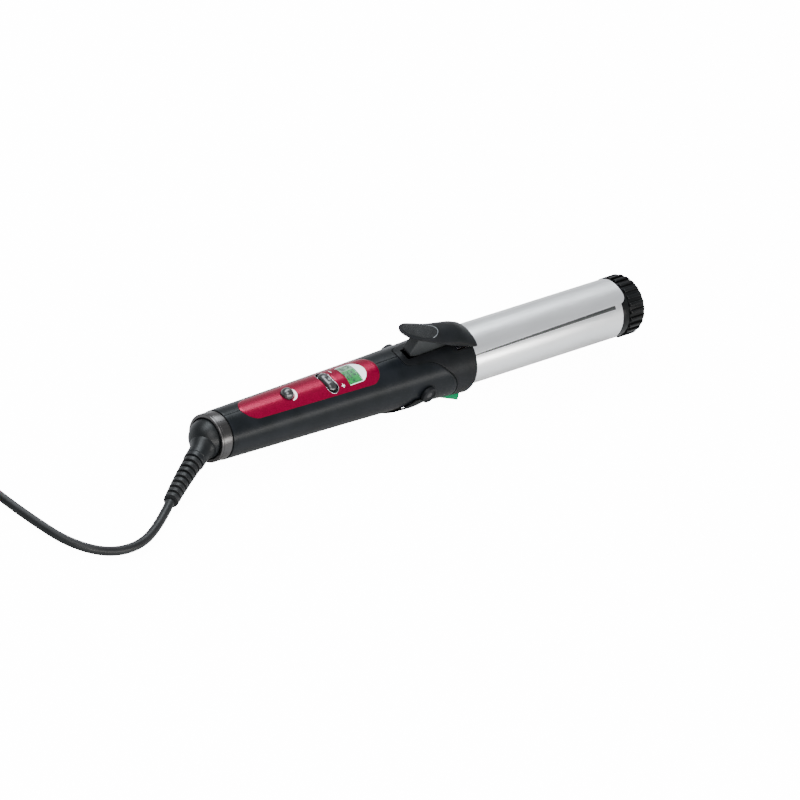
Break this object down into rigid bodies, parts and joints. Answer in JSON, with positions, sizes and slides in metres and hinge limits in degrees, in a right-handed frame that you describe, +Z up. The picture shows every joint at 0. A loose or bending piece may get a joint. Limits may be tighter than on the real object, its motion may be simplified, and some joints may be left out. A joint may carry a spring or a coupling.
{
  "type": "curling iron",
  "caption": "Hair curling iron: silver barrel with sprung clamp plate, black handle with red control panel, fold-out stand and swivelling cord.",
  "frame": {"origin": "on the surface that the iron lies on, under the middle of the iron without its cord", "axes": "+X along the iron towards the barrel tip, +Z up through the control panel, +Y to the left seen from the handle end"},
  "size_m": [0.6284, 0.1558, 0.0662],
  "materials": {
    "handle_black": "satin black moulded handle plastic",
    "collar_black": "fine textured black plastic of the collar, clamp lever and stand",
    "pad_black": "black thumb pad with raised dots",
    "smoky_chrome": "dark smoky chrome ring",
    "gloss_black": "glossy black swivel ball",
    "crimson_panel": "crimson metallic lacquered panel",
    "gunmetal": "gunmetal metallised button and rocker",
    "bright_trim": "bright thin trim",
    "white_surround": "white gloss display surround",
    "display_glass": "clear display window",
    "display_green": "green lit liquid crystal display",
    "satin_silver": "satin silver barrel and clamp plate",
    "nozzle_green": "translucent green ion nozzle",
    "tip_black": "semi-gloss heat resistant black tip",
    "cord_black": "black cord sheath, strain relief and plug",
    "steel": "steel pins, screws and spring",
    "nickel": "nickel plated plug pins",
    "brass": "brass contacts",
    "board_green": "circuit board",
    "switch_black": "small switches",
    "carrier_phenolic": "brown heat resistant moulding",
    "heater_aluminium": "cast aluminium heat spreaders",
    "ceramic": "white ceramic heater, sensor and fuse",
    "housing_grey": "grey inner mouldings",
    "wire_insulation": "silicone wire insulation"
  },
  "bodies": {
    "handle": {"handle_shell_left": "handle_black", "handle_shell_right": "handle_black", "collar": "collar_black", "rear_ring": "smoky_chrome", "swivel_socket": "housing_grey", "control_panel": "crimson_panel", "display_surround": "white_surround", "display_window": "display_glass", "display_module": "display_green", "display_holder": "housing_grey", "rocker_trim": "bright_trim", "rocker_carrier": "housing_grey", "circuit_board": "board_green", "button_switches": "switch_black", "terminal_block": "housing_grey", "contact_blades": "brass", "ion_generator": "switch_black", "ion_needle": "steel", "ion_nozzle": "nozzle_green", "barrel": "satin_silver", "barrel_carrier": "carrier_phenolic", "barrel_end_plug": "heater_aluminium", "heater_spreader_upper": "heater_aluminium", "heater_spreader_lower": "heater_aluminium", "ptc_heater": "ceramic", "temperature_sensor": "ceramic", "thermal_fuse": "ceramic", "lead_wires": "wire_insulation", "tip_cap": "tip_black", "tip_insert": "tip_black", "tip_screw": "steel", "handle_screws": "steel", "hinge_pin": "steel", "lever_spring": "steel", "stand_pins": "steel", "power_cord": "cord_black", "cord_coil": "cord_black", "coil_tie": "cord_black", "cord_tail": "cord_black", "plug_grip": "cord_black", "plug_body": "cord_black", "plug_pins": "nickel"},
    "clamp": {"clamp_lever": "collar_black", "thumb_pad": "pad_black", "clamp_plate": "satin_silver", "clamp_rivets": "steel"},
    "stand": {"stand": "collar_black"},
    "power_button": {"power_button": "gunmetal"},
    "temperature_rocker": {"temperature_rocker": "gunmetal"},
    "cord_swivel": {"swivel_dome": "gloss_black", "swivel_clip": "steel", "slip_rings": "brass", "strain_relief": "cord_black"}
  },
  "joints": [
    {"name": "clamp_open", "type": "hinge", "parent": "handle", "child": "clamp", "pos_m": [0.02255, 0, 0.04145], "axis": [0, -1, 0], "range_deg": [0, 20], "stiffness_Nm_per_rad": 0.3, "springref_deg": -28.65, "deforming": ["lever_spring"]},
    {"name": "stand_unfold", "type": "hinge", "parent": "handle", "child": "stand", "pos_m": [0.00232, 0, 0.024], "axis": [0, -1, 0], "range_deg": [0, 50]},
    {"name": "power_press", "type": "slide", "parent": "handle", "child": "power_button", "axis": [0.0458, 0, -0.999], "range_m": [0, 0.001], "stiffness_N_per_m": 300, "springref_m": -0.0005},
    {"name": "temperature_rock", "type": "hinge", "parent": "handle", "child": "temperature_rocker", "pos_m": [-0.07515, 0, 0.03266], "axis": [0.999, 0, 0.0458], "range_deg": [-4, 4], "stiffness_Nm_per_rad": 0.03},
    {"name": "cord_turn", "type": "hinge", "parent": "handle", "child": "cord_swivel", "pos_m": [-0.17, 0, 0.0161], "axis": [0.999, 0, 0.0458], "continuous": true}
  ]
}
